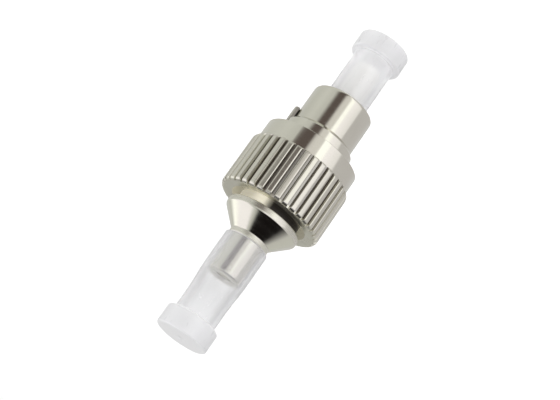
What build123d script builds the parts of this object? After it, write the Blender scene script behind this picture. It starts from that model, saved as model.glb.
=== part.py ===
from build123d import *
import math
import os

# A small hybrid adapter for fibre test lamps. Its front end is a plug with a large ferrule and a
# knurled coupling nut, and its rear end is a round port for a small ferrule. Both ends are capped.
# It stands on the flat end of its front dust cap, with +Z along its axis towards the rear port.
# All sizes are in millimetres.

# Clearances
slide_gap = 0.07            # round a piece that slides or turns
snug_gap = 0.02             # round a piece that slides with no play
stop_gap = 0.10             # left over at the end of a stroke

# Ferrules and the sleeve that lines up the small one
ferrule_dia = 2.5
ferrule_protrusion = 4.4    # tip beyond the front of the plug barrel
ferrule_seat_depth = 1.8    # length pressed into the ferrule flange
ferrule_tip_chamfer = 0.3
small_ferrule_dia = 1.25
small_ferrule_length = 6.5
small_tip_chamfer = 0.2
ferrule_float = 0.8         # spring travel of the ferrules
fibre_channel_dia = 0.9     # glue channel between the two ferrules
sleeve_wall = 0.17
sleeve_length = 6.8
sleeve_slot = 0.3
sleeve_float = 0.55         # end play of the sleeve in the port

# Dust caps, two of one moulding
cap_ferrule_gap = 0.33      # radial space between the ferrule and the cap's bore
cap_wall = 0.40
cap_end_wall = 1.2
cap_tip_gap = 1.49          # space beyond the ferrule tip
cap_insertion = 3.04        # depth of the cap's tube inside the plug barrel
cap_mouth_gap = 0.40        # space beyond the cap's mouth, inside the barrel
cap_flange_dia = 5.0
cap_flange_thick = 1.98
cap_flange_chamfer = 0.15
cap_mouth_chamfer = 0.10
cap_stretched_wall = 0.37   # thinner wall where the cap is stretched over the port
cap_taper_length = 2.0      # from the stretched size back to the moulded size

# Plug barrel, whose walls round the housing's spigot make it 6.0 across
barrel_wall = 0.6           # round the housing's spigot
barrel_front_bevel = 0.4    # two bevels stand in for the rounded front edge
barrel_front_step = 0.12    # from the corner to where the two bevels meet
barrel_mouth_chamfer = 0.12
shoulder_bore_gap = 0.25    # round the ferrule, where it passes the inner shoulder
shoulder_thick = 0.8

# Key ring pressed on the barrel
plug_depth = 3.88           # front of the barrel to front of the ring
key_ring_rise = 0.35
key_ring_length = 1.25
key_ring_chamfer = 0.32
key_width = 2.0
key_rise = 0.42
key_reach = 1.05            # ahead of the ring
key_chamfer = 0.2

# Ferrule flange and its spring
flange_dia = 3.9
flange_length = 2.2
flange_chamfer = 0.3
flange_slot_width = 0.8
flange_slot_depth = 0.45
flange_slot_length = 1.0
tail_wall = 0.475
tail_gap = 0.1
tail_engagement = 0.32      # tail inside the stop bushing at rest
spring_length = 3.6
spring_wire = 0.35
spring_gap = 0.2            # between the tail and the coils
spring_open_turns = 3
spring_wire_sides = 5
spring_end_gap = 0.02       # between the close-wound turns at each end

# Stop bushing, port tube and cone housing
stop_wall = 0.45            # between the tail's room and the sleeve
stop_hole_gap = 0.08        # round the small ferrule
port_dia = 3.5
port_flange_rise = 0.25
port_flange_thick = 0.7
port_lip = 0.48             # holds the sleeve in
port_catch = 0.07           # how far the lip covers the sleeve's end
port_mouth_chamfer = 0.12
port_edge_chamfer = 0.15
sleeve_room = 0.09          # round the sleeve
spigot_wall = 0.4           # round the port tube's flange
spigot_length = 3.08
cone_shoulder = 0.6         # cone's large end beyond the barrel's surface
cone_land = 0.6
cone_length = 1.68
cone_edge_bevel = 0.12
neck_rise = 0.2
neck_length = 0.50

# Coupling nut with its retaining ring
nut_setback = 1.58          # front of the key ring to front of the nut
thread_clearance = 0.174    # between the key and the crests of the thread
thread_pitch = 0.75
thread_length = 4.35        # front of the nut to its inner lip
thread_relief_length = 0.5
nut_wall = 0.63             # outside the roots of the thread
collar_length = 1.85
knurl_rise = 0.37
knurl_count = 36
knurl_depth = 0.34
knurl_chamfer = 0.30        # at both ends, less than the depth so that the grooves run out
knurl_groove_width = 0.38
knurl_root_width = 0.12
knurl_angle = 7.0           # first groove, counted from the key
lip_thick = 1.4
recess_depth = 1.32
recess_gap = 0.18           # between the recess and the cone's large end
recess_chamfer = 0.15
ring_section = 0.4
ring_groove_gap = 0.05
ring_opening_angle = 24.0

# Radii worked out from these sizes
ferrule_r = ferrule_dia / 2
small_ferrule_r = small_ferrule_dia / 2
cap_bore_r = ferrule_r + cap_ferrule_gap
cap_tube_r = cap_bore_r + cap_wall
cap_flange_r = cap_flange_dia / 2
barrel_bore_r = cap_tube_r + slide_gap
shoulder_bore_r = ferrule_r + shoulder_bore_gap
flange_r = flange_dia / 2
chamber_r = flange_r + slide_gap
port_r = port_dia / 2
port_flange_r = port_r + port_flange_rise
spigot_r = port_flange_r + spigot_wall
barrel_r = spigot_r + barrel_wall
key_ring_r = barrel_r + key_ring_rise
key_r = barrel_r + key_rise
tail_r = small_ferrule_r + tail_wall
tail_room_r = tail_r + tail_gap
spring_coil_r = tail_r + spring_gap + spring_wire / 2
sleeve_bore_r = small_ferrule_r + snug_gap
sleeve_r = sleeve_bore_r + sleeve_wall
port_bore_r = sleeve_r + sleeve_room
port_lip_r = sleeve_r - port_catch
neck_r = port_r + neck_rise
cone_r = barrel_r + cone_shoulder
stretched_bore_r = port_r + snug_gap
stretched_r = stretched_bore_r + cap_stretched_wall
thread_crest_r = key_r + thread_clearance
thread_depth = 0.5413 * thread_pitch
thread_root_r = thread_crest_r + thread_depth
collar_r = thread_root_r + nut_wall
nut_r = collar_r + knurl_rise
lip_bore_r = barrel_r + slide_gap
recess_r = cone_r + recess_gap
ring_bore_r = barrel_r + snug_gap
ring_r = ring_bore_r + ring_section
ring_groove_r = ring_r + slide_gap

# Heights above the surface that the front cap stands on
ferrule_tip = cap_end_wall + cap_tip_gap
barrel_front = ferrule_tip + ferrule_protrusion
cap_length = barrel_front + cap_insertion
shoulder_front = cap_length + cap_mouth_gap
flange_front = shoulder_front + shoulder_thick
flange_back = flange_front + flange_length
spring_seat = flange_back + spring_length
tail_end = spring_seat + tail_engagement
tail_room_end = tail_end + ferrule_float + stop_gap
sleeve_rest = tail_room_end + stop_wall
port_flange_back = sleeve_rest + port_flange_thick
sleeve_top = sleeve_rest + sleeve_length
port_lip_front = sleeve_top + sleeve_float
port_end = port_lip_front + port_lip
ferrule_back = flange_front + ferrule_seat_depth
small_ferrule_tip = sleeve_rest + sleeve_length / 2
small_ferrule_base = small_ferrule_tip - small_ferrule_length
land_front = spring_seat + spigot_length
cone_base = land_front + cone_land
cone_top = cone_base + cone_length
neck_top = cone_top + neck_length
rear_cap_end = neck_top + cap_length
taper_start = port_end + stop_gap
taper_end = taper_start + cap_taper_length
key_ring_front = barrel_front + plug_depth
key_ring_back = key_ring_front + key_ring_length
key_tip = key_ring_front - key_reach
nut_front = key_ring_front + nut_setback
knurl_front = nut_front + collar_length
lip_front = nut_front + thread_length
lip_back = lip_front + lip_thick
nut_back = lip_back + recess_depth
ring_middle = (lip_front + lip_back) / 2
ring_front = ring_middle - ring_section / 2
ring_back = ring_middle + ring_section / 2
nut_forward_travel = lip_front - key_ring_back - stop_gap
nut_rearward_travel = land_front - lip_back - stop_gap


# Front dust cap: a moulded tube, closed by its flange, whose bore clears the large ferrule
with BuildPart() as front_dust_cap:
    with BuildSketch():
        Circle(cap_flange_r)
    extrude(amount=cap_flange_thick)
    chamfer(front_dust_cap.edges(), cap_flange_chamfer)
    with BuildSketch(Plane.XY.offset(cap_flange_thick)):
        Circle(cap_tube_r)
    extrude(amount=cap_length - cap_flange_thick)
    chamfer(front_dust_cap.edges().sort_by(Axis.Z)[-1], cap_mouth_chamfer)
    with BuildSketch(Plane.XY.offset(cap_length)):
        Circle(cap_bore_r)
    extrude(amount=-(cap_length - cap_end_wall), mode=Mode.SUBTRACT)


# Rear dust cap: the same moulding, stretched over the port tube up to the end of that tube
with BuildPart() as rear_dust_cap:
    with BuildSketch(Plane.XY.offset(rear_cap_end - cap_flange_thick)):
        Circle(cap_flange_r)
    extrude(amount=cap_flange_thick)
    chamfer(rear_dust_cap.edges(), cap_flange_chamfer)
    with BuildSketch(Plane.XZ):
        with BuildLine():
            Polyline(
                (0, neck_top),
                (stretched_r, neck_top),
                (stretched_r, taper_start),
                (cap_tube_r, taper_end),
                (cap_tube_r, rear_cap_end - cap_flange_thick),
                (0, rear_cap_end - cap_flange_thick),
                close=True,
            )
        make_face()
    revolve(axis=Axis.Z)
    chamfer(rear_dust_cap.edges().sort_by(Axis.Z)[0], cap_mouth_chamfer)
    with BuildSketch(Plane.XZ):
        with BuildLine():
            Polyline(
                (0, neck_top),
                (stretched_bore_r, neck_top),
                (stretched_bore_r, taper_start),
                (cap_bore_r, taper_end),
                (cap_bore_r, rear_cap_end - cap_end_wall),
                (0, rear_cap_end - cap_end_wall),
                close=True,
            )
        make_face()
    revolve(axis=Axis.Z, mode=Mode.SUBTRACT)


# Plug barrel: open at the front round the ferrule, with an inner shoulder for the ferrule flange
with BuildPart() as plug_barrel:
    with BuildSketch(Plane.XZ):
        with BuildLine():
            Polyline(
                (barrel_bore_r, barrel_front),
                (barrel_r - barrel_front_bevel, barrel_front),
                (barrel_r - barrel_front_step, barrel_front + barrel_front_step),
                (barrel_r, barrel_front + barrel_front_bevel),
                (barrel_r, land_front),
                (spigot_r, land_front),
                (spigot_r, spring_seat),
                (chamber_r, spring_seat),
                (chamber_r, flange_front),
                (shoulder_bore_r, flange_front),
                (shoulder_bore_r, shoulder_front),
                (barrel_bore_r, shoulder_front),
                close=True,
            )
        make_face()
    revolve(axis=Axis.Z)
    front_rims = plug_barrel.edges().group_by(Axis.Z)[0].sort_by(SortBy.RADIUS)
    chamfer(front_rims[0], barrel_mouth_chamfer)


# Key ring: pressed on the barrel, with one locating key that runs forward along the barrel
with BuildPart() as key_ring:
    with BuildSketch(Plane.XY.offset(key_ring_front)):
        Circle(key_ring_r)
    extrude(amount=key_ring_length)
    chamfer(key_ring.edges().sort_by(Axis.Z)[0], key_ring_chamfer)
    with BuildSketch(Plane.XY.offset(key_tip)) as key_section:
        Rectangle(key_r, key_width, align=(Align.MIN, Align.CENTER))
        chamfer(key_section.vertices().group_by(Axis.X)[-1], key_chamfer)
    extrude(amount=key_ring_back - key_tip)
    chamfer(key_ring.faces().sort_by(Axis.Z)[0].edges().sort_by(Axis.X)[-1], key_chamfer)
    with BuildSketch(Plane.XY.offset(key_tip)):
        Circle(barrel_r)
    extrude(amount=key_ring_back - key_tip, mode=Mode.SUBTRACT)


# Large ferrule: ground ceramic with a chamfered tip, its fibre bonded flush in its centre
with BuildPart() as front_ferrule:
    with BuildSketch(Plane.XY.offset(ferrule_tip)):
        Circle(ferrule_r)
    extrude(amount=ferrule_back - ferrule_tip)
    chamfer(front_ferrule.edges().sort_by(Axis.Z)[0], ferrule_tip_chamfer)


# Ferrule flange: both ferrules are pressed in it, and its slots take a tuning tool
with BuildPart() as ferrule_flange:
    with BuildSketch(Plane.XY.offset(flange_front)):
        Circle(flange_r)
    extrude(amount=flange_length)
    flange_rims = ferrule_flange.edges().filter_by(GeomType.CIRCLE).sort_by(Axis.Z)
    chamfer(flange_rims[0], flange_chamfer)
    with BuildSketch(Plane.XY.offset(flange_back)):
        Circle(tail_r)
    extrude(amount=tail_end - flange_back)
    with BuildSketch(Plane.XY.offset(flange_back)):
        with PolarLocations(flange_r, 4):
            Rectangle(2 * flange_slot_depth, flange_slot_width)
    extrude(amount=-flange_slot_length, mode=Mode.SUBTRACT)
    with BuildSketch(Plane.XY.offset(flange_front)):
        Circle(ferrule_r)
    extrude(amount=ferrule_seat_depth, mode=Mode.SUBTRACT)
    with BuildSketch(Plane.XY.offset(ferrule_back)):
        Circle(fibre_channel_dia / 2)
    extrude(amount=small_ferrule_base - ferrule_back, mode=Mode.SUBTRACT)
    with BuildSketch(Plane.XY.offset(tail_end)):
        Circle(small_ferrule_r)
    extrude(amount=small_ferrule_base - tail_end, mode=Mode.SUBTRACT)


# Small ferrule: pressed in the flange's tail, its tip in the middle of the split sleeve
with BuildPart() as rear_ferrule:
    with BuildSketch(Plane.XY.offset(small_ferrule_base)):
        Circle(small_ferrule_r)
    extrude(amount=small_ferrule_length)
    chamfer(rear_ferrule.edges().sort_by(Axis.Z)[-1], small_tip_chamfer)


# Ferrule spring: open turns between two close-wound end turns, which lie on the spring's seats
end_turn_height = spring_wire + spring_end_gap
open_height = spring_length - spring_wire - 2 * end_turn_height
first_turn = flange_back + spring_wire / 2
open_turns_start = first_turn + end_turn_height
last_turn = open_turns_start + open_height
with BuildPart() as ferrule_spring:
    with BuildLine() as spring_path:
        front_turn = Helix(end_turn_height, end_turn_height, spring_coil_r, center=(0, 0, first_turn))
        Helix(open_height / spring_open_turns, open_height, spring_coil_r, center=(0, 0, open_turns_start))
        Helix(end_turn_height, end_turn_height, spring_coil_r, center=(0, 0, last_turn))
    with BuildSketch(Plane(origin=front_turn @ 0, z_dir=front_turn % 0)):
        RegularPolygon(spring_wire / 2, spring_wire_sides)
    sweep(path=spring_path.wire(), is_frenet=True)


# Stop bushing: the spring's seat, the guide of the flange's tail and the sleeve's inner stop
with BuildPart() as stop_bushing:
    with BuildSketch(Plane.XY.offset(spring_seat)):
        Circle(port_flange_r)
        Circle(tail_room_r, mode=Mode.SUBTRACT)
    extrude(amount=tail_room_end - spring_seat)
    with BuildSketch(Plane.XY.offset(tail_room_end)):
        Circle(port_flange_r)
        Circle(small_ferrule_r + stop_hole_gap, mode=Mode.SUBTRACT)
    extrude(amount=stop_wall)


# Split sleeve: ceramic, and slit along its length, so that it grips both small ferrules
with BuildPart() as split_sleeve:
    with BuildSketch(Plane.XY.offset(sleeve_rest)):
        Circle(sleeve_r)
        Circle(sleeve_bore_r, mode=Mode.SUBTRACT)
        Rectangle(2 * sleeve_r, sleeve_slot, align=(Align.MAX, Align.CENTER), mode=Mode.SUBTRACT)
    extrude(amount=sleeve_length)


# Port tube: holds the sleeve behind its lip, and is caught in the cone housing by its flange
with BuildPart() as port_tube:
    with BuildSketch(Plane.XZ):
        with BuildLine():
            Polyline(
                (port_bore_r, sleeve_rest),
                (port_flange_r, sleeve_rest),
                (port_flange_r, port_flange_back),
                (port_r, port_flange_back),
                (port_r, port_end),
                (port_lip_r, port_end),
                (port_lip_r, port_lip_front),
                (port_bore_r, port_lip_front),
                close=True,
            )
        make_face()
    revolve(axis=Axis.Z)
    rear_rims = port_tube.edges().group_by(Axis.Z)[-1].sort_by(SortBy.RADIUS)
    chamfer(rear_rims[-1], port_edge_chamfer)
    chamfer(rear_rims[0], port_mouth_chamfer)


# Cone housing: screwed into the barrel by its spigot, its land and cone standing out behind it
with BuildPart() as cone_housing:
    with BuildSketch(Plane.XZ):
        with BuildLine():
            Polyline(
                (port_flange_r, spring_seat),
                (spigot_r, spring_seat),
                (spigot_r, land_front),
                (cone_r, land_front),
                (cone_r, cone_base),
                (neck_r, cone_top),
                (neck_r, neck_top),
                (port_r, neck_top),
                (port_r, port_flange_back),
                (port_flange_r, port_flange_back),
                close=True,
            )
        make_face()
    revolve(axis=Axis.Z)
    cone_rims = cone_housing.edges().filter_by(GeomType.CIRCLE).group_by(SortBy.RADIUS)[-1]
    chamfer(cone_rims.sort_by(Axis.Z)[-1], cone_edge_bevel)


# Coupling nut: a plain collar and a knurled grip outside, and the thread's bore, the lip that
# rides on the barrel and the recess for the cone's large end inside
with BuildPart() as coupling_nut:
    with BuildSketch(Plane.XZ):
        with BuildLine():
            Polyline(
                (thread_root_r, nut_front),
                (collar_r, nut_front),
                (collar_r, knurl_front),
                (nut_r - knurl_chamfer, knurl_front),
                (nut_r, knurl_front + knurl_chamfer),
                (nut_r, nut_back - knurl_chamfer),
                (nut_r - knurl_chamfer, nut_back),
                (recess_r + recess_chamfer, nut_back),
                (recess_r, nut_back - recess_chamfer),
                (recess_r, lip_back),
                (lip_bore_r, lip_back),
                (lip_bore_r, ring_back + ring_groove_gap),
                (ring_groove_r, ring_back + ring_groove_gap),
                (ring_groove_r, ring_front - ring_groove_gap),
                (lip_bore_r, ring_front - ring_groove_gap),
                (lip_bore_r, lip_front),
                (thread_root_r, lip_front),
                (thread_root_r, lip_front - thread_relief_length),
                (thread_crest_r, lip_front - thread_relief_length - thread_depth),
                (thread_crest_r, nut_front + thread_depth),
                close=True,
            )
        make_face()
    revolve(axis=Axis.Z)
    with BuildSketch(Plane.XY.offset(knurl_front)):
        with PolarLocations(nut_r, knurl_count, start_angle=knurl_angle):
            Polygon(
                (-knurl_depth, -knurl_root_width / 2),
                (knurl_depth, knurl_root_width / 2 - knurl_groove_width),
                (knurl_depth, knurl_groove_width - knurl_root_width / 2),
                (-knurl_depth, knurl_root_width / 2),
                align=None,
            )
    extrude(amount=nut_back - knurl_front, mode=Mode.SUBTRACT)


# Retaining ring: an open spring ring in the nut's lip, whose grip on the barrel holds the nut
with BuildPart() as retaining_ring:
    with BuildSketch(Plane.XZ):
        with Locations(((ring_bore_r + ring_r) / 2, ring_middle)):
            Rectangle(ring_section, ring_section)
    revolve(axis=Axis.Z, revolution_arc=360 - ring_opening_angle)


# One file for each piece
pieces = {
    "front_dust_cap": front_dust_cap,
    "rear_dust_cap": rear_dust_cap,
    "plug_barrel": plug_barrel,
    "key_ring": key_ring,
    "front_ferrule": front_ferrule,
    "ferrule_flange": ferrule_flange,
    "rear_ferrule": rear_ferrule,
    "ferrule_spring": ferrule_spring,
    "stop_bushing": stop_bushing,
    "split_sleeve": split_sleeve,
    "port_tube": port_tube,
    "cone_housing": cone_housing,
    "coupling_nut": coupling_nut,
    "retaining_ring": retaining_ring,
}
os.makedirs("parts", exist_ok=True)
for name, piece in pieces.items():
    piece.part.label = name
    export_step(piece.part, f"parts/{name}.step")

print(f"height {rear_cap_end:.2f}, barrel front {barrel_front:.2f}, port end {port_end:.2f}")
print(f"nut from {nut_front:.2f} to {nut_back:.2f}, diameter {2 * nut_r:.2f}")
print(f"nut travels {nut_forward_travel:.2f} forward and {nut_rearward_travel:.2f} rearward")
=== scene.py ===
# %% [markdown]
# # A hybrid fibre adapter for test lamps
# The real object is a turned and plated metal adapter, 33 mm long with a milky dust cap on each
# end. The lower half is a plug with a large ferrule and a knurled coupling nut, and the upper half
# is a small round port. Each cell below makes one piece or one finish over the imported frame, whose
# own solids keep their places underneath.

import math

import bmesh
import bpy
from mathutils import Matrix, Vector


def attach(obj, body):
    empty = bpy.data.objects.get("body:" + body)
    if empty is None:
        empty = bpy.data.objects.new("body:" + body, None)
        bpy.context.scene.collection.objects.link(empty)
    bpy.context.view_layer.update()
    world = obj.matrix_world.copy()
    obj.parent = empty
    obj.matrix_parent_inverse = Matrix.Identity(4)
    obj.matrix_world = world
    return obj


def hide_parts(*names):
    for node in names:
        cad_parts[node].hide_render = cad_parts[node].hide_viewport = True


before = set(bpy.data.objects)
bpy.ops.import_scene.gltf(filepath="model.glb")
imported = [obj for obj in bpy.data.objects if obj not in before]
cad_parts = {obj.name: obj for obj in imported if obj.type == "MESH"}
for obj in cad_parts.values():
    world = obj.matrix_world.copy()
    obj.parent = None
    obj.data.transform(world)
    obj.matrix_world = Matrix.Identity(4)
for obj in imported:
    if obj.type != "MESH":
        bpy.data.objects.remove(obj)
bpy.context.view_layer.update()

# %% [markdown]
# ## Sizes
# Every size is in millimetres, as a turner's drawing would give it, and `MM` turns it into the
# scene's metres. A piece's name alone is its radius. Names with FRONT, BACK, END or SEAT are
# heights, counted from the flat end that the adapter stands on. Only the sizes that several pieces
# share are here; the others come with their piece.

# %% Sizes that pieces share
MM = 0.001
BARREL = 3.00
SPIGOT = 2.40
SPIGOT_BORE = 2.00
SPIGOT_FRONT = 17.13
LAND_FRONT = 20.21
TUBE = 1.75
TUBE_SEAT = 19.50
NECK_END = 22.99
NUT_FRONT = 12.55
NUT_BACK = 19.62
print("nut", round(NUT_BACK - NUT_FRONT, 2), "mm long, land from", LAND_FRONT, "mm up")

# %% [markdown]
# ## Turning a profile
# Almost every piece of this adapter was made on a lathe, so one helper does what a lathe does. It
# lays half of the section out as a loop of corners, rounds the corners that a real tool would not
# leave sharp, and spins the loop once round the axis. A spun loop gives clean rings of faces, which
# a plain cylinder with edits on top would not.

# %% Helpers for turned pieces
AXIS = {"cent": (0, 0, 0), "axis": (0, 0, 1)}
BEVEL = {"profile": 0.5, "material": -1}


def section_loop(bm, corners, closed=True):
    """Lays out (radius, height, rounding) corners and rounds those that ask for it."""
    points = [bm.verts.new((radius * MM, 0, height * MM)) for radius, height, _ in corners]
    for first, second in zip(points, points[1:] + points[:1]):
        if closed or second is not points[0]:
            bm.edges.new((first, second))
    for point, (_, _, rounding) in zip(points, corners):
        if rounding:
            offset = rounding * MM
            bmesh.ops.bevel(bm, geom=[point], offset=offset, affect="VERTICES", segments=4, **BEVEL)
    return bm.verts[:] + bm.edges[:]


def spin_round(bm, geometry, steps):
    """Spins a loop once round the axis and closes it."""
    bmesh.ops.spin(bm, geom=geometry, **AXIS, angle=math.tau, steps=steps, use_merge=True)
    bmesh.ops.remove_doubles(bm, verts=bm.verts[:], dist=0.0005 * MM)
    bmesh.ops.recalc_face_normals(bm, faces=bm.faces[:])


def finish_piece(bm, name, sharp_angle=32):
    """Shades a mesh smooth apart from its sharp edges, and makes it an object."""
    for face in bm.faces:
        face.smooth = True
    for edge in bm.edges:
        if len(edge.link_faces) == 2 and edge.calc_face_angle(0) > math.radians(sharp_angle):
            edge.smooth = False
    mesh = bpy.data.meshes.new(name)
    bm.to_mesh(mesh)
    bm.free()
    piece = bpy.data.objects.new(name, mesh)
    bpy.context.scene.collection.objects.link(piece)
    return piece


def turn(name, corners, steps=144, closed=True):
    """One turned piece from its corners."""
    bm = bmesh.new()
    spin_round(bm, section_loop(bm, corners, closed), steps)
    return finish_piece(bm, name)


def place(piece, body, material, node=None):
    """Gives a piece its body and its finish, and hides the solid that it stands for."""
    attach(piece, body)
    if node:
        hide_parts(node)
    piece.data.materials.append(material)
    print(piece.name, len(piece.data.polygons), "faces on", body)


print("lathe set up round", AXIS["axis"])

# %% [markdown]
# ## Finishes
# A finish is a small tree of nodes. It reads Object coordinates, which stay with the piece when it
# moves, and makes patterns from them: noise for marks and clouds, the height along the adapter, and
# the distance from its axis.


# %% Reading a piece's own coordinates
def new_material(name):
    """A fresh material with its shader and the piece's own coordinates."""
    material = bpy.data.materials.new(name)
    material.use_nodes = True
    tree = material.node_tree
    shader = tree.nodes["Principled BSDF"]
    coordinates = tree.nodes.new("ShaderNodeTexCoord")
    return material, tree, shader, coordinates.outputs["Object"]


def noise(tree, coordinates, stretch, scale, detail=3.0):
    """Noise in object space, stretched by a Mapping node; scale counts per millimetre."""
    mapping = tree.nodes.new("ShaderNodeMapping")
    mapping.inputs["Scale"].default_value = [1000 * scale * s for s in stretch]
    tree.links.new(coordinates, mapping.inputs["Vector"])
    texture = tree.nodes.new("ShaderNodeTexNoise")
    texture.inputs["Scale"].default_value = 1.0
    texture.inputs["Detail"].default_value = detail
    tree.links.new(mapping.outputs["Vector"], texture.inputs["Vector"])
    return texture.outputs["Fac"]


def split_axes(tree, vector):
    """The outputs X, Y and Z of a vector."""
    node = tree.nodes.new("ShaderNodeSeparateXYZ")
    tree.links.new(vector, node.inputs["Vector"])
    return node.outputs


def axis_distance(tree, coordinates):
    """The distance from the axis, in millimetres."""
    flat = tree.nodes.new("ShaderNodeVectorMath")
    flat.operation = "MULTIPLY"
    flat.inputs[1].default_value = (1000, 1000, 0)
    tree.links.new(coordinates, flat.inputs[0])
    length = tree.nodes.new("ShaderNodeVectorMath")
    length.operation = "LENGTH"
    tree.links.new(flat.outputs["Vector"], length.inputs[0])
    return length.outputs["Value"]


print("finishes read Object coordinates")

# %% [markdown]
# The patterns are numbers, and a few helpers work on them. A band is a mask that is one between two
# limits and nothing outside them, with a slope on each side. A mask then picks between two numbers
# or two colours, which is how one finish can differ from place to place on a piece.


# %% Numbers, masks and colours
def spread(tree, factor, low, high, from_low=0.3, from_high=0.7):
    """Maps a factor onto a range of plain numbers; the limits given here suit noise."""
    node = tree.nodes.new("ShaderNodeMapRange")
    node.inputs["From Min"].default_value = from_low
    node.inputs["From Max"].default_value = from_high
    node.inputs["To Min"].default_value = low
    node.inputs["To Max"].default_value = high
    tree.links.new(factor, node.inputs["Value"])
    return node.outputs["Result"]


def by_mask(tree, mask, outside, inside):
    """One number outside a mask and another inside it."""
    return spread(tree, mask, outside, inside, 0, 1)


def reckon(tree, operation, first, second, clamp=False):
    """One number worked out from two."""
    node = tree.nodes.new("ShaderNodeMath")
    node.operation = operation
    node.use_clamp = clamp
    tree.links.new(first, node.inputs[0])
    tree.links.new(second, node.inputs[1])
    return node.outputs["Value"]


def sum_of(tree, first, second):
    """Adds two numbers, up to one."""
    return reckon(tree, "ADD", first, second, clamp=True)


def share_of(tree, first, second):
    """Multiplies two numbers."""
    return reckon(tree, "MULTIPLY", first, second)


def band(tree, value, starts, full, fades, ends):
    """One inside a band of a value and nothing outside, with a slope on each side."""
    rising = spread(tree, value, 0, 1, starts, full)
    return share_of(tree, rising, spread(tree, value, 1, 0, fades, ends))


def zone(tree, coordinate, *limits):
    """A band of one coordinate, with its four limits in millimetres."""
    return band(tree, coordinate, *(limit * MM for limit in limits))


def fade(tree, coordinate, low, high, starts, ends):
    """A slope from one number to another along a coordinate, between limits in millimetres."""
    return spread(tree, coordinate, low, high, starts * MM, ends * MM)


def tint(tree, factor, first, second):
    """Blends two colours, given as plain numbers or as sockets, by a factor."""
    node = tree.nodes.new("ShaderNodeMix")
    node.data_type = "RGBA"
    for name, colour in (("A", first), ("B", second)):
        if isinstance(colour, tuple):
            node.inputs[name].default_value = (*colour, 1)
        else:
            tree.links.new(colour, node.inputs[name])
    tree.links.new(factor, node.inputs["Factor"])
    return node.outputs["Result"]


def glow(tree, shader, colour, strength):
    """Lets a surface give off some light of its own, by a number or a socket."""
    shader.inputs["Emission Color"].default_value = (*colour, 1)
    if isinstance(strength, float):
        shader.inputs["Emission Strength"].default_value = strength
    else:
        tree.links.new(strength, shader.inputs["Emission Strength"])


def bump(tree, shader, height, depth_mm):
    """Presses a height into the surface, on top of what is pressed in already."""
    node = tree.nodes.new("ShaderNodeBump")
    if shader.inputs["Normal"].is_linked:
        tree.links.new(shader.inputs["Normal"].links[0].from_socket, node.inputs["Normal"])
    node.inputs["Strength"].default_value = 1.0
    node.inputs["Distance"].default_value = depth_mm * MM
    tree.links.new(height, node.inputs["Height"])
    tree.links.new(node.outputs["Normal"], shader.inputs["Normal"])


print("a millimetre is", MM, "of the metres that the coordinates count in")

# %% [markdown]
# The metal is bright nickel over turned brass, a little warmer than steel. Its colour comes from
# what it reflects, so the finish is a metal with low roughness. Faint lines that run round the axis
# are left by the lathe: noise squeezed along the height makes them. The plating isn't equally
# bright all over. It is duller on the knurl, on the land and on the neck, where it was handled
# most, so each of those heights is a zone with more roughness. A piece with marks of its own adds
# them by a function, which the last argument names.

# %% Turned metal
ZONE_EDGE = 0.1


def turned_metal(name, colours, gloss, line_depth, zones=(), extra=None):
    """A metal with a lathe's faint rings, and zones of (low, high, added roughness, metallic)."""
    material, tree, shader, coordinates = new_material(name)
    marks = noise(tree, coordinates, (1, 1, 0.6), 0.35, 4)
    lines = noise(tree, coordinates, (0.02, 0.02, 1), 9.0, 2)
    skin = tint(tree, spread(tree, marks, 0, 1), *colours)
    roughness = spread(tree, lines, *gloss)
    height = split_axes(tree, coordinates)["Z"]
    shader.inputs["Metallic"].default_value = 1.0
    metallic = None
    for low, high, rougher, metal in zones:
        inside = zone(tree, height, low, low + ZONE_EDGE, high - ZONE_EDGE, high)
        roughness = sum_of(tree, roughness, by_mask(tree, inside, 0, rougher))
        share = by_mask(tree, inside, 1, metal)
        metallic = share_of(tree, metallic, share) if metallic else share
        tree.links.new(metallic, shader.inputs["Metallic"])
    if extra:
        skin, roughness = extra(tree, shader, coordinates, skin, roughness)
    tree.links.new(skin, shader.inputs["Base Color"])
    tree.links.new(roughness, shader.inputs["Roughness"])
    bump(tree, shader, lines, line_depth)
    return material


print("zones fade in over", ZONE_EDGE, "mm")

# %% [markdown]
# In the knurl the grooves are darkened with painted shade: their floors are a middle grey and their
# flanks darker, and the distance from the axis tells them apart. Behind the nut, a strip of the
# barrel is painted pale and warm on one half, where the bright walls round it throw light back, and
# painted nearly black on the other, where they show it only shade. It fades out forward under the
# nut. The wall of the nut's recess round that strip is painted paler than the outside for the same
# reason. A weak glow stands in for the light that is thrown back. Each band below is given by where
# it starts, is full, begins to fade and ends.

# %% Painted shade and light in the knurl and behind the nut
# The groove colours are painted shade; the pale colours are painted light and the black one painted
# shade.
GROOVE_FLOOR_SHADE = (0.44, 0.43, 0.39)
GROOVE_FLANK_SHADE = (0.27, 0.24, 0.22)
RECESS_PALE = (0.80, 0.78, 0.68)
STRIP_PALE = (0.92, 0.89, 0.77)
STRIP_BLACK = (0.03, 0.025, 0.022)
WARM_LIGHT = (0.95, 0.90, 0.76)
KNURL_LENGTH = (14.35, 14.45, 19.65, 19.75)
GROOVE_LENGTH = (14.40, 14.45, 19.35, 19.40)
GROOVE_FLOOR = (4.60, 4.62, 4.662, 4.672)
GROOVE_FLANK = (4.662, 4.69, 4.74, 4.84)
RECESS_LENGTH = (18.2, 18.4, 19.5, 19.6)
RECESS_WALL = (3.80, 3.85)
STRIP_LENGTH = (18.9, 19.4, 20.3, 20.4)
SHADE_EDGE = (-0.45, 0.35)
BRIGHT_LINE = (-0.10, 0.45, 0.90, 1.70)


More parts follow.
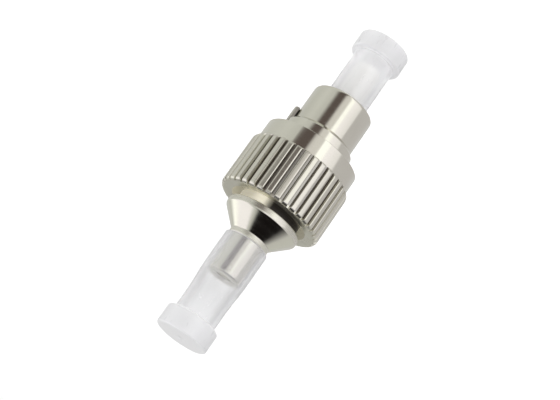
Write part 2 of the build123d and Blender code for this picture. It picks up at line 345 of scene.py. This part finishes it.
def knurl_painted_shade(tree, shader, coordinates, skin, roughness):
    """Dull ridges, painted shade in the grooves, and painted light on the wall of the nut's recess.
    """
    height = split_axes(tree, coordinates)["Z"]
    distance = axis_distance(tree, coordinates)
    grooves = zone(tree, height, *GROOVE_LENGTH)
    floor = share_of(tree, grooves, band(tree, distance, *GROOVE_FLOOR))
    flank = share_of(tree, grooves, band(tree, distance, *GROOVE_FLANK))
    recess = zone(tree, height, *RECESS_LENGTH)
    recess = share_of(tree, recess, spread(tree, distance, 1, 0, *RECESS_WALL))
    # Painted shade on the groove floors and flanks, painted light on the recess wall.
    for mask, colour in ((floor, GROOVE_FLOOR_SHADE), (flank, GROOVE_FLANK_SHADE), (recess, RECESS_PALE)):
        skin = tint(tree, mask, skin, colour)
    bump(tree, shader, noise(tree, coordinates, (1, 1, 0), 1.1, 1), 0.03)
    tree.links.new(by_mask(tree, recess, 1, 0.3), shader.inputs["Metallic"])
    glow(tree, shader, WARM_LIGHT, by_mask(tree, recess, 0, 0.13))
    dull = zone(tree, height, *KNURL_LENGTH)
    return skin, sum_of(tree, roughness, by_mask(tree, dull, 0, 0.17))


def strip_behind_nut(tree, shader, coordinates, skin, roughness):
    """The barrel's strip behind the nut: pale on one half and nearly black on the other."""
    across, _, height = split_axes(tree, coordinates)
    strip = zone(tree, height, *STRIP_LENGTH)
    dark_side = fade(tree, across, 1, 0, *SHADE_EDGE)
    bright = zone(tree, across, *BRIGHT_LINE)
    skin = tint(tree, strip, skin, STRIP_PALE)
    skin = tint(tree, share_of(tree, strip, dark_side), skin, STRIP_BLACK)
    tree.links.new(by_mask(tree, strip, 1, 0.15), shader.inputs["Metallic"])
    light = sum_of(tree, by_mask(tree, dark_side, 0.21, 0), by_mask(tree, bright, 0, 0.28))
    glow(tree, shader, WARM_LIGHT, share_of(tree, strip, light))
    return skin, sum_of(tree, roughness, by_mask(tree, strip, 0, 0.16))


print("marks for the knurl and for the strip behind the nut")

# %% [markdown]
# Every plated piece has the same two tones of nickel, and the pieces differ only in their zones and
# marks. The key's milled faces are rougher. The inner brass and steel are left as they were turned.

# %% Plated and turned metals
PLATE = ((0.71, 0.70, 0.61), (0.67, 0.66, 0.57))
PLATE_GLOSS = (0.11, 0.17)
PLATE_LINES = 0.0006
LAND_ZONE = (20.1, 20.85, 0.13, 0.9)
NECK_ZONE = (22.46, 23.2, 0.16, 0.55)

nickel = turned_metal("nickel_plate", PLATE, PLATE_GLOSS, PLATE_LINES)
milled = turned_metal(
    "nickel_milled", ((0.66, 0.65, 0.58), (0.56, 0.55, 0.49)), (0.42, 0.50), 0.0040
)
brass = turned_metal(
    "turned_brass", ((0.78, 0.58, 0.27), (0.70, 0.50, 0.22)), (0.22, 0.32), 0.0012
)
steel = turned_metal(
    "stainless_steel", ((0.60, 0.59, 0.57), (0.52, 0.51, 0.50)), (0.20, 0.30), 0.0010
)
knurled = turned_metal("nickel_knurled", PLATE, (0.10, 0.15), 0.0003, extra=knurl_painted_shade)
barrel_skin = turned_metal(
    "nickel_barrel", PLATE, PLATE_GLOSS, PLATE_LINES, extra=strip_behind_nut
)
housing_skin = turned_metal(
    "nickel_housing", PLATE, PLATE_GLOSS, PLATE_LINES, zones=(LAND_ZONE, NECK_ZONE)
)
for metal in (nickel, milled, brass, steel, knurled, barrel_skin, housing_skin):
    print(metal.name, len(metal.node_tree.nodes), "nodes")

# %% [markdown]
# The ferrules and the sleeve are ground white ceramic, glossy and slightly warm, with the glass
# fibre's dark dot in the middle of each ferrule. The dot is drawn by the distance from the axis, so
# it needs no geometry of its own. Light scatters inside the ceramic, and a weak glow stands in for
# that.

# %% Ceramic with its fibre
FIBRE_EDGE = (0.058, 0.068)


def ceramic_finish():
    """White ceramic whose centre shows the bonded fibre."""
    material, tree, shader, coordinates = new_material("ceramic")
    shader.inputs["Roughness"].default_value = 0.14
    shader.inputs["IOR"].default_value = 1.9
    glow(tree, shader, (1, 0.99, 0.97), 0.2)
    fibre = spread(tree, axis_distance(tree, coordinates), 1, 0, *FIBRE_EDGE)
    speckle = noise(tree, coordinates, (1, 1, 1), 6.0, 2)
    body = tint(tree, speckle, (0.90, 0.89, 0.86), (0.84, 0.83, 0.80))
    tree.links.new(tint(tree, fibre, body, (0.10, 0.11, 0.13)), shader.inputs["Base Color"])
    bump(tree, shader, speckle, 0.0004)
    return material


ceramic = ceramic_finish()
print("ceramic with a fibre", 2 * FIBRE_EDGE[1], "mm across")

# %% [markdown]
# The dust caps are soft polyethylene: milky, see-through enough to show the tube inside, and with
# the satin gloss of a moulding. Part of the light goes straight through each wall, and the rest is
# spread by the white plastic. Seen on the slant a wall is thicker to look through, so there it
# hides more, and the sides of the cap look denser than its middle. The flanges are solid, so they
# are densest. Where the upper cap is stretched tight over the tube it clings to the metal, and
# there it is clearer. Light also runs along inside the plastic, so the lower cap isn't dark where
# the metal above shades it, and the closed end of the upper cap is as light as its side. A weak
# glow stands in for that.

# %% Milky polyethylene
THICK_MILK = ((0.93, 0.93, 0.94), (0.88, 0.88, 0.89))
THIN_MILK = ((0.83, 0.83, 0.84), (0.77, 0.77, 0.78))
SOLID_MILK = (0.89, 0.89, 0.90)
COOL_LIGHT = (0.98, 0.98, 1.0)
LOW_FLANGE_FADE = (1.7, 2.1)
HIGH_FLANGE_FADE = (31.0, 31.4)
BETWEEN_CAPS = (15, 20)
OVER_TUBE = (22.9, 23.0, 26.8, 27.3)
UNDER_BARREL = (1.70, 1.95, 2.1, 3.9)
TOP_FACE = (32.95, 33.10)


def milky_plastic():
    """Thin polyethylene with slow clouds in it and a satin skin."""
    material, tree, shader, coordinates = new_material("clear_polyethylene")
    shader.inputs["Specular IOR Level"].default_value = 1.0
    shader.inputs["IOR"].default_value = 1.5
    clouds = noise(tree, coordinates, (1, 1, 0.5), 0.5, 3)
    skin = noise(tree, coordinates, (1, 1, 0.2), 5.0, 3)
    height = split_axes(tree, coordinates)["Z"]
    low_flange = fade(tree, height, 1, 0, *LOW_FLANGE_FADE)
    high_flange = fade(tree, height, 0, 1, *HIGH_FLANGE_FADE)
    solid = sum_of(tree, low_flange, high_flange)
    upper_cap = fade(tree, height, 0, 1, *BETWEEN_CAPS)
    wall = tint(tree, upper_cap, tint(tree, clouds, *THICK_MILK), tint(tree, clouds, *THIN_MILK))
    tree.links.new(tint(tree, solid, wall, SOLID_MILK), shader.inputs["Base Color"])
    tree.links.new(spread(tree, skin, 0.26, 0.36), shader.inputs["Roughness"])

    slant = tree.nodes.new("ShaderNodeLayerWeight")
    slant.inputs["Blend"].default_value = 0.5
    facing = slant.outputs["Facing"]
    haze = spread(tree, facing, 0.30, 0.85, 0.15, 0.90)
    haze = sum_of(tree, haze, spread(tree, clouds, -0.02, 0.02))
    haze = sum_of(tree, haze, by_mask(tree, solid, 0, 0.55))
    over_tube = zone(tree, height, *OVER_TUBE)
    clear = spread(tree, facing, 0.24, 0.32, 0.15, 0.42)
    clear = sum_of(tree, clear, spread(tree, facing, 0, 0.55, 0.42, 0.60))
    haze = share_of(tree, haze, by_mask(tree, over_tube, 1, 0))
    haze = sum_of(tree, haze, share_of(tree, clear, over_tube))
    tree.links.new(haze, shader.inputs["Alpha"])

    shaded = by_mask(tree, zone(tree, height, *UNDER_BARREL), 0, 0.23)
    top_face = fade(tree, height, 0, 0.16, *TOP_FACE)
    glow(tree, shader, COOL_LIGHT, sum_of(tree, shaded, top_face))
    bump(tree, shader, skin, 0.0012)
    return material


milky = milky_plastic()
print("caps:", milky.name, len(milky.node_tree.nodes), "nodes")

# %% [markdown]
# ## Dust caps
# A cap is a closed tube with a round flange. Both caps are the same moulding, so one helper lays
# out the closed end and the bore, and each cap adds its own mouth. Heights are counted from the
# closed end here. The corners are rounded as a moulding's are, and the end face has the small
# dimple that the mould's gate leaves.

# %% Helper for the dust caps
CAP_LENGTH = 10.13
CAP_TUBE = 1.98
CAP_BORE = 1.58
CAP_FLANGE = 2.50
CAP_FLANGE_THICK = 1.98
CAP_END_WALL = 1.20
CAP_ROUNDING = 0.22
DIMPLE = 0.30
DIMPLE_RIM = 0.45
DIMPLE_DEPTH = 0.10


def dust_cap(name, mouth, end, way):
    """A cap whose closed end lies at a height, with its mouth up (way 1) or down (way -1)."""
    corners = [
        (0, DIMPLE_DEPTH, 0),
        (DIMPLE, DIMPLE_DEPTH, 0.05),
        (DIMPLE_RIM, 0.0, 0.05),
        (CAP_FLANGE, 0.0, CAP_ROUNDING),
        (CAP_FLANGE, CAP_FLANGE_THICK, CAP_ROUNDING),
        (CAP_TUBE, CAP_FLANGE_THICK, 0.10),
        *mouth,
        (CAP_BORE, CAP_END_WALL, 0.15),
        (0, CAP_END_WALL, 0),
    ]
    section = [(radius, end + way * height, rounding) for radius, height, rounding in corners]
    cap = turn(name, section, closed=False)
    cap.visible_shadow = cap.visible_glossy = False
    return cap


print("caps are", CAP_LENGTH, "mm long")

# %% [markdown]
# The front cap is pushed over the large ferrule into the open front of the barrel, and its tube is
# straight. The adapter stands on its flange.

# %% Front dust cap
front_cap = dust_cap(
    "front_cap", [(CAP_TUBE, CAP_LENGTH, 0.12), (CAP_BORE, CAP_LENGTH, 0.08)], end=0.0, way=1
)
place(front_cap, "front_cap", milky, "front_dust_cap")

# %% [markdown]
# The rear cap is turned the other way up and stretched over the port tube, so it is wider near its
# mouth and tapers back to its moulded size past the end of the tube.

# %% Rear dust cap
STRETCHED_TUBE = 2.14
STRETCHED_BORE = 1.77
TAPER_NARROW = 4.39
TAPER_WIDE = 6.39
TAPER_ROUNDING = 0.9

rear_cap = dust_cap(
    "rear_cap",
    [
        (CAP_TUBE, TAPER_NARROW, TAPER_ROUNDING),
        (STRETCHED_TUBE, TAPER_WIDE, TAPER_ROUNDING),
        (STRETCHED_TUBE, CAP_LENGTH, 0.12),
        (STRETCHED_BORE, CAP_LENGTH, 0.08),
        (STRETCHED_BORE, TAPER_WIDE, TAPER_ROUNDING),
        (CAP_BORE, TAPER_NARROW, TAPER_ROUNDING),
    ],
    end=NECK_END + CAP_LENGTH,
    way=-1,
)
place(rear_cap, "rear_cap", milky, "rear_dust_cap")

# %% [markdown]
# ## Plug barrel
# The barrel is a thin-walled tube with a rounded front edge. Inside is the shoulder that stops the
# ferrule's flange, with the chamber for the spring behind it.

# %% Plug barrel
BARREL_FRONT = 7.09
BARREL_BORE = 2.05
SHOULDER = 1.50
SHOULDER_FRONT = 10.53
SHOULDER_BACK = 11.33
CHAMBER = 2.02

barrel = turn(
    "barrel",
    [
        (BARREL_BORE, BARREL_FRONT, 0.12),
        (BARREL, BARREL_FRONT, 0.40),
        (BARREL, LAND_FRONT, 0),
        (SPIGOT, LAND_FRONT, 0),
        (SPIGOT, SPIGOT_FRONT, 0),
        (CHAMBER, SPIGOT_FRONT, 0),
        (CHAMBER, SHOULDER_BACK, 0),
        (SHOULDER, SHOULDER_BACK, 0.05),
        (SHOULDER, SHOULDER_FRONT, 0.05),
        (BARREL_BORE, SHOULDER_FRONT, 0),
    ],
)
place(barrel, "plug_body", barrel_skin, "plug_barrel")

# %% [markdown]
# ## Key ring
# A narrow ring is pressed on the barrel, and one key runs forward from it. The ring is turned, and
# the key starts as a block whose outer edges are bevelled, apart from the rear one, as a mill and a
# file would leave it. The key's milled faces are duller than the turned ring, so they get a rougher
# finish of their own.

# %% Key ring with its key
RING = 3.35
RING_FRONT = 10.97
RING_BACK = 12.22
KEY_SIZE = (0.47, 2.0, 2.30)
KEY_MIDDLE = (3.185, 0, 11.07)
KEY_BEVEL = 0.2
LARGE_FACE = 0.2

bm = bmesh.new()
ring_loop = section_loop(
    bm,
    [
        (BARREL, RING_FRONT, 0.03),
        (BARREL + 0.03, RING_FRONT, 0),
        (RING, RING_FRONT + 0.32, 0.04),
        (RING, RING_BACK, 0.05),
        (BARREL, RING_BACK, 0.03),
    ],
)
spin_round(bm, ring_loop, 144)
key = bmesh.ops.create_cube(bm, size=1.0)["verts"]
bmesh.ops.scale(bm, vec=[size * MM for size in KEY_SIZE], verts=key)
bmesh.ops.translate(bm, vec=[middle * MM for middle in KEY_MIDDLE], verts=key)
outer_edges = [
    edge
    for edge in {edge for corner in key for edge in corner.link_edges}
    if min(corner.co.x for corner in edge.verts) > KEY_MIDDLE[0] * MM
    and min(corner.co.z for corner in edge.verts) < KEY_MIDDLE[2] * MM
]
bmesh.ops.bevel(
    bm, geom=outer_edges, offset=KEY_BEVEL * MM, affect="EDGES", segments=2, **BEVEL
)
bmesh.ops.recalc_face_normals(bm, faces=bm.faces[:])
key_faces = [
    face
    for face in bm.faces
    if face.calc_center_median().x > 2.5 * MM and face.calc_area() > LARGE_FACE * MM * MM
]
for face in key_faces:
    face.material_index = 1
print(len(key_faces), "milled faces on the key")
key_collar = finish_piece(bm, "key_collar", 25)
place(key_collar, "plug_body", nickel, "key_ring")
key_collar.data.materials.append(milled)

# %% [markdown]
# ## Cone housing
# Behind the nut a short land shows, then the cone that runs down to the port tube and ends in a
# small neck. Its spigot is screwed into the barrel and isn't seen.

# %% Cone housing
LAND = 3.60
LAND_BACK = 20.81
NECK = 1.95
CONE_END = 22.49

housing = turn(
    "housing",
    [
        (SPIGOT_BORE, SPIGOT_FRONT, 0),
        (SPIGOT, SPIGOT_FRONT, 0),
        (SPIGOT, LAND_FRONT, 0),
        (LAND, LAND_FRONT, 0.08),
        (LAND, LAND_BACK, 0.14),
        (NECK, CONE_END, 0.05),
        (NECK, NECK_END, 0.24),
        (TUBE, NECK_END, 0),
        (TUBE, TUBE_SEAT, 0),
        (SPIGOT_BORE, TUBE_SEAT, 0),
    ],
)
place(housing, "plug_body", housing_skin, "cone_housing")

# %% [markdown]
# ## Port tube
# The thin tube takes the small ferrule of the fibre under test. A lip at its end keeps the split
# sleeve in, and its bore shows dark through the cap.

# %% Port tube
TUBE_FRONT = 18.80
TUBE_BORE = 0.905
PORT_END = 26.63
PORT_LIP = 0.745
LIP_FRONT = 26.15

port = turn(
    "port",
    [
        (TUBE_BORE, TUBE_FRONT, 0),
        (SPIGOT_BORE, TUBE_FRONT, 0),
        (SPIGOT_BORE, TUBE_SEAT, 0),
        (TUBE, TUBE_SEAT, 0),
        (TUBE, PORT_END, 0.15),
        (PORT_LIP, PORT_END, 0.12),
        (PORT_LIP, LIP_FRONT, 0.02),
        (TUBE_BORE, LIP_FRONT, 0),
    ],
)
place(port, "plug_body", nickel, "port_tube")

# %% [markdown]
# ## Ferrules
# Both ferrules are ground rods. The large one has a chamfered, slightly domed tip, and the small
# one points the other way, into the port.

# %% Ferrules
LARGE_FERRULE = 1.25
LARGE_FERRULE_BACK = 13.13
SMALL_FERRULE = 0.625
SMALL_FERRULE_FRONT = 15.70

front_ferrule = turn(
    "front_ferrule_rod",
    [
        (0, 2.69, 0),
        (0.80, 2.70, 0.05),
        (0.95, 2.72, 0.04),
        (LARGE_FERRULE, 2.99, 0.04),
        (LARGE_FERRULE, LARGE_FERRULE_BACK, 0.03),
        (0, LARGE_FERRULE_BACK, 0),
    ],
    96,
    closed=False,
)
place(front_ferrule, "ferrule_stub", ceramic, "front_ferrule")
rear_ferrule = turn(
    "rear_ferrule_rod",
    [
        (0, SMALL_FERRULE_FRONT, 0),
        (SMALL_FERRULE, SMALL_FERRULE_FRONT, 0.03),
        (SMALL_FERRULE, 22.0, 0.04),
        (0.425, 22.19, 0.04),
        (0, 22.20, 0),
    ],
    64,
    closed=False,
)
place(rear_ferrule, "ferrule_stub", ceramic, "rear_ferrule")

# %% [markdown]
# ## Split sleeve
# The sleeve is a ceramic tube with one slot along it, so its loop is spun not quite all the way
# round and its ends are filled.

# %% Split sleeve
SLEEVE = 0.815
SLEEVE_BORE = 0.645
SLEEVE_FRONT = 18.8
SLEEVE_BACK = 25.6
SLOT_WIDTH = 0.30

bm = bmesh.new()
wall = section_loop(
    bm,
    [
        (SLEEVE_BORE, SLEEVE_FRONT, 0.03),
        (SLEEVE, SLEEVE_FRONT, 0.03),
        (SLEEVE, SLEEVE_BACK, 0.03),
        (SLEEVE_BORE, SLEEVE_BACK, 0.03),
    ],
)
slot_angle = 2 * math.asin(SLOT_WIDTH / (SLEEVE + SLEEVE_BORE))
slot_side = Matrix.Rotation(math.pi + slot_angle / 2, 3, "Z")
bmesh.ops.rotate(bm, cent=(0, 0, 0), matrix=slot_side, verts=bm.verts[:])
bmesh.ops.spin(bm, geom=wall, **AXIS, angle=math.tau - slot_angle, steps=64)
bmesh.ops.holes_fill(bm, edges=bm.edges[:], sides=0)
bmesh.ops.recalc_face_normals(bm, faces=bm.faces[:])
sleeve = finish_piece(bm, "sleeve")
place(sleeve, "plug_body", ceramic, "split_sleeve")

# %% [markdown]
# ## Coupling nut
# The nut has a plain collar, then a straight knurl with rounded ends. A groove of the knurl has a
# flat floor, two steep flanks and a very low step beside each flank, where the edge of the ridge is
# worn. Its section is given by the angle from the middle of the groove.

# %% Section of the knurl
COLLAR = 4.63
NUT = 5.00
GROOVES = 36
FIRST_GROOVE = 7.0
GROOVE_DEPTH = 0.34
EDGE_DEPTH = 0.02
FLOOR_ENDS = 1.1
FLANK_ENDS = 2.1
EDGE_ENDS = 2.6
FLANK_SHARE = 0.93
KNURL_FRONT = 14.40
KNURL_ROUNDING = 0.33
RIDGE_STRAIGHT = 0.40


def groove_depth(angle):
    """How deep the knurl is cut at an angle in degrees, in millimetres."""
    pitch = 360 / GROOVES
    off = abs((angle - FIRST_GROOVE + pitch / 2) % pitch - pitch / 2)
    if off < FLOOR_ENDS:
        return GROOVE_DEPTH
    if off < FLANK_ENDS:
        return GROOVE_DEPTH * (FLANK_ENDS - off) / FLOOR_ENDS * FLANK_SHARE + EDGE_DEPTH
    return EDGE_DEPTH if off < EDGE_ENDS else 0.0


print("floor", groove_depth(FIRST_GROOVE), "mm deep, edge", groove_depth(FIRST_GROOVE + 2.3))

# %% [markdown]
# All the grooves are alike, so only ten degrees of the nut, one groove's share, is turned as a
# blank. The points in the knurl's band are pushed in as far as the groove is deep at their angle,
# and the share is then copied round the axis until the ring closes. Two extra corners near the ends
# of the knurl keep the shading of the ridges straight.

# %% Coupling nut
THREAD_CAVITY = 4.0
CAVITY_BACK = 16.90
NUT_LIP = 3.07
LIP_BACK = 18.30
RING_GROOVE = 3.49
RING_GROOVE_FRONT = 17.35
RING_GROOVE_BACK = 17.85
RECESS = 3.78

bm = bmesh.new()
blank = section_loop(
    bm,
    [
        (THREAD_CAVITY, NUT_FRONT, 0.06),
        (COLLAR, NUT_FRONT, 0.08),
        (COLLAR, KNURL_FRONT, 0.0),
        (NUT, KNURL_FRONT, KNURL_ROUNDING),
        (NUT, KNURL_FRONT + RIDGE_STRAIGHT, 0),
        (NUT, NUT_BACK - RIDGE_STRAIGHT, 0),
        (NUT, NUT_BACK, KNURL_ROUNDING),
        (RECESS, NUT_BACK, 0.12),
        (RECESS, LIP_BACK, 0.03),
        (NUT_LIP, LIP_BACK, 0.06),
        (NUT_LIP, RING_GROOVE_BACK, 0.02),
        (RING_GROOVE, RING_GROOVE_BACK, 0.0),
        (RING_GROOVE, RING_GROOVE_FRONT, 0.0),
        (NUT_LIP, RING_GROOVE_FRONT, 0.02),
        (NUT_LIP, CAVITY_BACK, 0.06),
        (THREAD_CAVITY, CAVITY_BACK, 0.05),
    ],
)
share_angle = math.tau / GROOVES
share_start = Matrix.Rotation(math.radians(FIRST_GROOVE) - share_angle / 2, 3, "Z")
bmesh.ops.rotate(bm, cent=(0, 0, 0), matrix=share_start, verts=bm.verts[:])
bmesh.ops.spin(bm, geom=blank, **AXIS, angle=share_angle, steps=20)
for point in bm.verts:
    radius = math.hypot(point.co.x, point.co.y) / MM
    if radius > COLLAR + 0.01 and point.co.z > (KNURL_FRONT - 0.001) * MM:
        floor = NUT - groove_depth(math.degrees(math.atan2(point.co.y, point.co.x)))
        if radius > floor:
            point.co.xy *= floor / radius
bmesh.ops.spin(
    bm,
    geom=bm.verts[:] + bm.edges[:] + bm.faces[:],
    **AXIS,
    angle=math.tau - share_angle,
    steps=GROOVES - 1,
    use_duplicate=True,
)
bmesh.ops.remove_doubles(bm, verts=bm.verts[:], dist=0.0008 * MM)
bmesh.ops.recalc_face_normals(bm, faces=bm.faces[:])
nut = finish_piece(bm, "nut", 28)
place(nut, "nut", knurled, "coupling_nut")

# %% [markdown]
# ## Coupling thread
# The nut's fine thread has a pitch of 0.75 mm. One triangle is spun while it climbs by the pitch on
# every turn, which is how a screw is cut, and the strip lies on the nut's bore.

# %% Coupling thread
PITCH = 0.75
TURNS = 4.6
STEPS_A_TURN = 72
THREAD_CREST = 3.594
THREAD_ROOT = 4.02
THREAD_FRONT = 12.99
TOOTH_HALF = 0.24

bm = bmesh.new()
tooth = section_loop(
    bm,
    [
        (THREAD_ROOT, THREAD_FRONT - TOOTH_HALF, 0),
        (THREAD_CREST, THREAD_FRONT, 0.05),
        (THREAD_ROOT, THREAD_FRONT + TOOTH_HALF, 0),
    ],
)
bmesh.ops.spin(
    bm,
    geom=tooth,
    **AXIS,
    dvec=(0, 0, PITCH * MM / STEPS_A_TURN),
    angle=math.tau * TURNS,
    steps=round(TURNS * STEPS_A_TURN),
)
bmesh.ops.holes_fill(bm, edges=bm.edges[:], sides=0)
bmesh.ops.recalc_face_normals(bm, faces=bm.faces[:])
thread = finish_piece(bm, "nut_thread", 40)
place(thread, "nut", nickel)

# %% [markdown]
# ## Pieces inside
# The ferrule's flange, its spring, the stop bushing and the retaining ring are hidden. Their solids
# stay as they are and get their finish.

# %% Finishes of the hidden solids
HIDDEN_SOLIDS = {
    "ferrule_flange": steel,
    "ferrule_spring": steel,
    "retaining_ring": steel,
    "stop_bushing": brass,
}
for node, material in HIDDEN_SOLIDS.items():
    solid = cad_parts[node]
    solid.data.materials.clear()
    solid.data.materials.append(material)
    print(node, "finished with", material.name)

# %% [markdown]
# ## Floor
# The adapter stands on plain white paper, a wide disc just under its flat end. It gives off light
# of its own, which stands in for the brightness of a white studio, and is left out of reflections
# so that the bands round the adapter reach the upright walls.

# %% Floor
FLOOR = 2500
FLOOR_TOP = -0.02
PAPER_GLOW = 0.68

bm = bmesh.new()
under_cap = Matrix.Translation((0, 0, FLOOR_TOP * MM))
bmesh.ops.create_circle(bm, cap_ends=True, radius=FLOOR * MM, segments=64, matrix=under_cap)
floor_sheet = finish_piece(bm, "floor_sheet")
paper, tree, shader, coordinates = new_material("paper")
grain = noise(tree, coordinates, (1, 1, 1), 0.02, 2)
paper_white = tint(tree, grain, (0.94, 0.94, 0.94), (0.92, 0.92, 0.92))
tree.links.new(paper_white, shader.inputs["Base Color"])
shader.inputs["Roughness"].default_value = 0.9
glow(tree, shader, (1, 1, 1), PAPER_GLOW)
floor_sheet.data.materials.append(paper)
floor_sheet.visible_glossy = False
print("floor of", len(floor_sheet.data.vertices), "corners")

# %% [markdown]
# ## Camera
# The camera stands about a quarter turn from the key and a little above it, and is rolled so that
# the adapter lies slantwise in the frame with its port end low. Its place follows from two angles
# and a distance, so one helper serves it and the lamps.

# %% Camera
VIEW_TURN = -100
VIEW_HEIGHT = 18
VIEW_ROLL = -144.9
VIEW_DISTANCE = 136.6
VIEW_AIM = (-0.1305, 0.3129, 17.8386)
FOCAL_LENGTH = 99.64
SENSOR_WIDTH = 36
NEAREST = 5


def looking_back(at, turn_degrees, height_degrees, distance, roll_degrees=0.0):
    """The place of a camera or a lamp that looks back at a point from two angles."""
    turn_angle, height = math.radians(turn_degrees), math.radians(height_degrees)
    level = math.cos(height)
    way = Vector((level * math.cos(turn_angle), level * math.sin(turn_angle), math.sin(height)))
    roll = Matrix.Rotation(math.radians(roll_degrees), 3, "Z")
    turned = way.to_track_quat("Z", "Y").to_matrix() @ roll
    return Matrix.Translation(at + way * distance) @ turned.to_4x4()


lens = bpy.data.cameras.new("camera")
lens.sensor_width = SENSOR_WIDTH
lens.lens = FOCAL_LENGTH
lens.clip_start = NEAREST * MM
camera = bpy.data.objects.new("camera", lens)
camera.matrix_world = looking_back(
    Vector(VIEW_AIM) * MM, VIEW_TURN, VIEW_HEIGHT, VIEW_DISTANCE * MM, VIEW_ROLL
)
bpy.context.scene.collection.objects.link(camera)
bpy.context.scene.camera = camera
print("camera at", [round(x / MM, 1) for x in camera.matrix_world.translation])

# %% [markdown]
# ## Light
# Three broad square lamps give the plain soft light of a studio: one overhead and, on either side
# of the camera, a main lamp and a weaker one that fills its shade. They stay out of the
# reflections, which the surroundings below give.

# %% Soft lights
LAMP_DISTANCE = 600
LAMP_SIZE = 800
LAMP_AIM = Vector((0, 0, 16 * MM))


def soft_light(name, turn_degrees, height_degrees, power):
    """A large square lamp that faces the adapter and stays out of the reflections."""
    lamp = bpy.data.lights.new(name, "AREA")
    lamp.shape = "SQUARE"
    lamp.size = LAMP_SIZE * MM
    lamp.energy = power
    light = bpy.data.objects.new(name, lamp)
    distance = LAMP_DISTANCE * MM
    light.matrix_world = looking_back(LAMP_AIM, turn_degrees, height_degrees, distance)
    light.visible_glossy = False
    bpy.context.scene.collection.objects.link(light)
    print(name, power, "W")


soft_light("overhead_light", -60, 75, 2.8)
soft_light("key_light", -135, 25, 0.95)
soft_light("fill_light", -40, 25, 0.60)

# %% [markdown]
# ## What the metal reflects
# Bright plating shows only its surroundings, so a photographer places white sheets and dark cards
# round it. Here the world plays that part, with bands of white, grey and dark by direction. A first
# step turns each direction into a bearing: nought is straight towards the camera, and the ramps run
# from -180 to 180 degrees.

# %% Bearing of each direction
world = bpy.data.worlds.new("studio")
bpy.context.scene.world = world
world.use_nodes = True
tree = world.node_tree
direction = tree.nodes.new("ShaderNodeTexCoord")
facing = tree.nodes.new("ShaderNodeMapping")
facing.inputs["Rotation"].default_value = (0, 0, -math.radians(VIEW_TURN))
tree.links.new(direction.outputs["Generated"], facing.inputs["Vector"])
ahead, aside, upward = split_axes(tree, facing.outputs["Vector"])
bearing = reckon(tree, "ARCTAN2", aside, ahead)
ramp_place = spread(tree, bearing, 0, 1, -math.pi, math.pi)


def band_ramp(stops):
    """A colour ramp along the bearing, from (degrees, colour) stops."""
    ramp = tree.nodes.new("ShaderNodeValToRGB")
    ramp.color_ramp.interpolation = "EASE"
    elements = ramp.color_ramp.elements
    while len(elements) > 1:
        elements.remove(elements[-1])
    for index, (degrees, colour) in enumerate(stops):
        position = 0.5 + degrees / 360
        element = elements.new(position) if index else elements[0]
        element.position = position
        element.color = (*colour, 1)
    tree.links.new(ramp_place, ramp.inputs["Fac"])
    return ramp.outputs["Color"]


print("bearings start from the camera's side, at", VIEW_TURN, "degrees")

# %% [markdown]
# Seen from a little above, upright walls reflect what lies low, the nut's end face reflects the
# middle height, and the cone reflects what is nearly overhead. So there are three sets of bands,
# and the height of a direction blends one into the next.

# %% Bands of white, grey and dark
WHITE = (1.0, 1.0, 1.0)
CREAM = (0.97, 0.97, 0.96)
SHEET = (0.84, 0.81, 0.86)
PEARL = (0.74, 0.72, 0.75)
VEIL = (0.58, 0.56, 0.56)
PALE_GREY = (0.51, 0.51, 0.50)
GREY = (0.46, 0.46, 0.45)
ROSE = (0.44, 0.425, 0.44)
FAR = (0.36, 0.355, 0.34)
DARK = (0.090, 0.072, 0.068)
BLACK = (0.005, 0.004, 0.004)
LOW_TO_MIDDLE = (0.05, 0.25)
MIDDLE_TO_HIGH = (0.57, 0.77)
BRIGHTNESS = 1.5

low_bands = band_ramp(
    [
        (-180, GREY),
        (-120, ROSE),
        (-66, ROSE),
        (-60, PEARL),
        (-32, SHEET),
        (-22, WHITE),
        (-14, WHITE),
        (-9, VEIL),
        (6, VEIL),
        (18, DARK),
        (36, DARK),
        (54, GREY),
        (80, PALE_GREY),
        (120, GREY),
    ]
)
middle_bands = band_ramp(
    [
        (-180, FAR),
        (-140, GREY),
        (-66, ROSE),
        (-54, SHEET),
        (5, SHEET),
        (20, GREY),
        (52, GREY),
        (70, SHEET),
        (105, SHEET),
        (127, CREAM),
        (143, GREY),
        (180, FAR),
    ]
)
high_bands = band_ramp(
    [
        (-180, BLACK),
        (33, BLACK),
        (54, GREY),
        (72, SHEET),
        (110, SHEET),
        (140, BLACK),
    ]
)
rise = spread(tree, upward, 0, 1, *LOW_TO_MIDDLE)
climb = spread(tree, upward, 0, 1, *MIDDLE_TO_HIGH)
bands = tint(tree, climb, tint(tree, rise, low_bands, middle_bands), high_bands)
background = tree.nodes["Background"]
tree.links.new(bands, background.inputs["Color"])
background.inputs["Strength"].default_value = BRIGHTNESS
world.cycles_visibility.diffuse = False
bpy.context.scene.view_settings.view_transform = "Standard"
print("surroundings of", len(tree.nodes), "nodes")
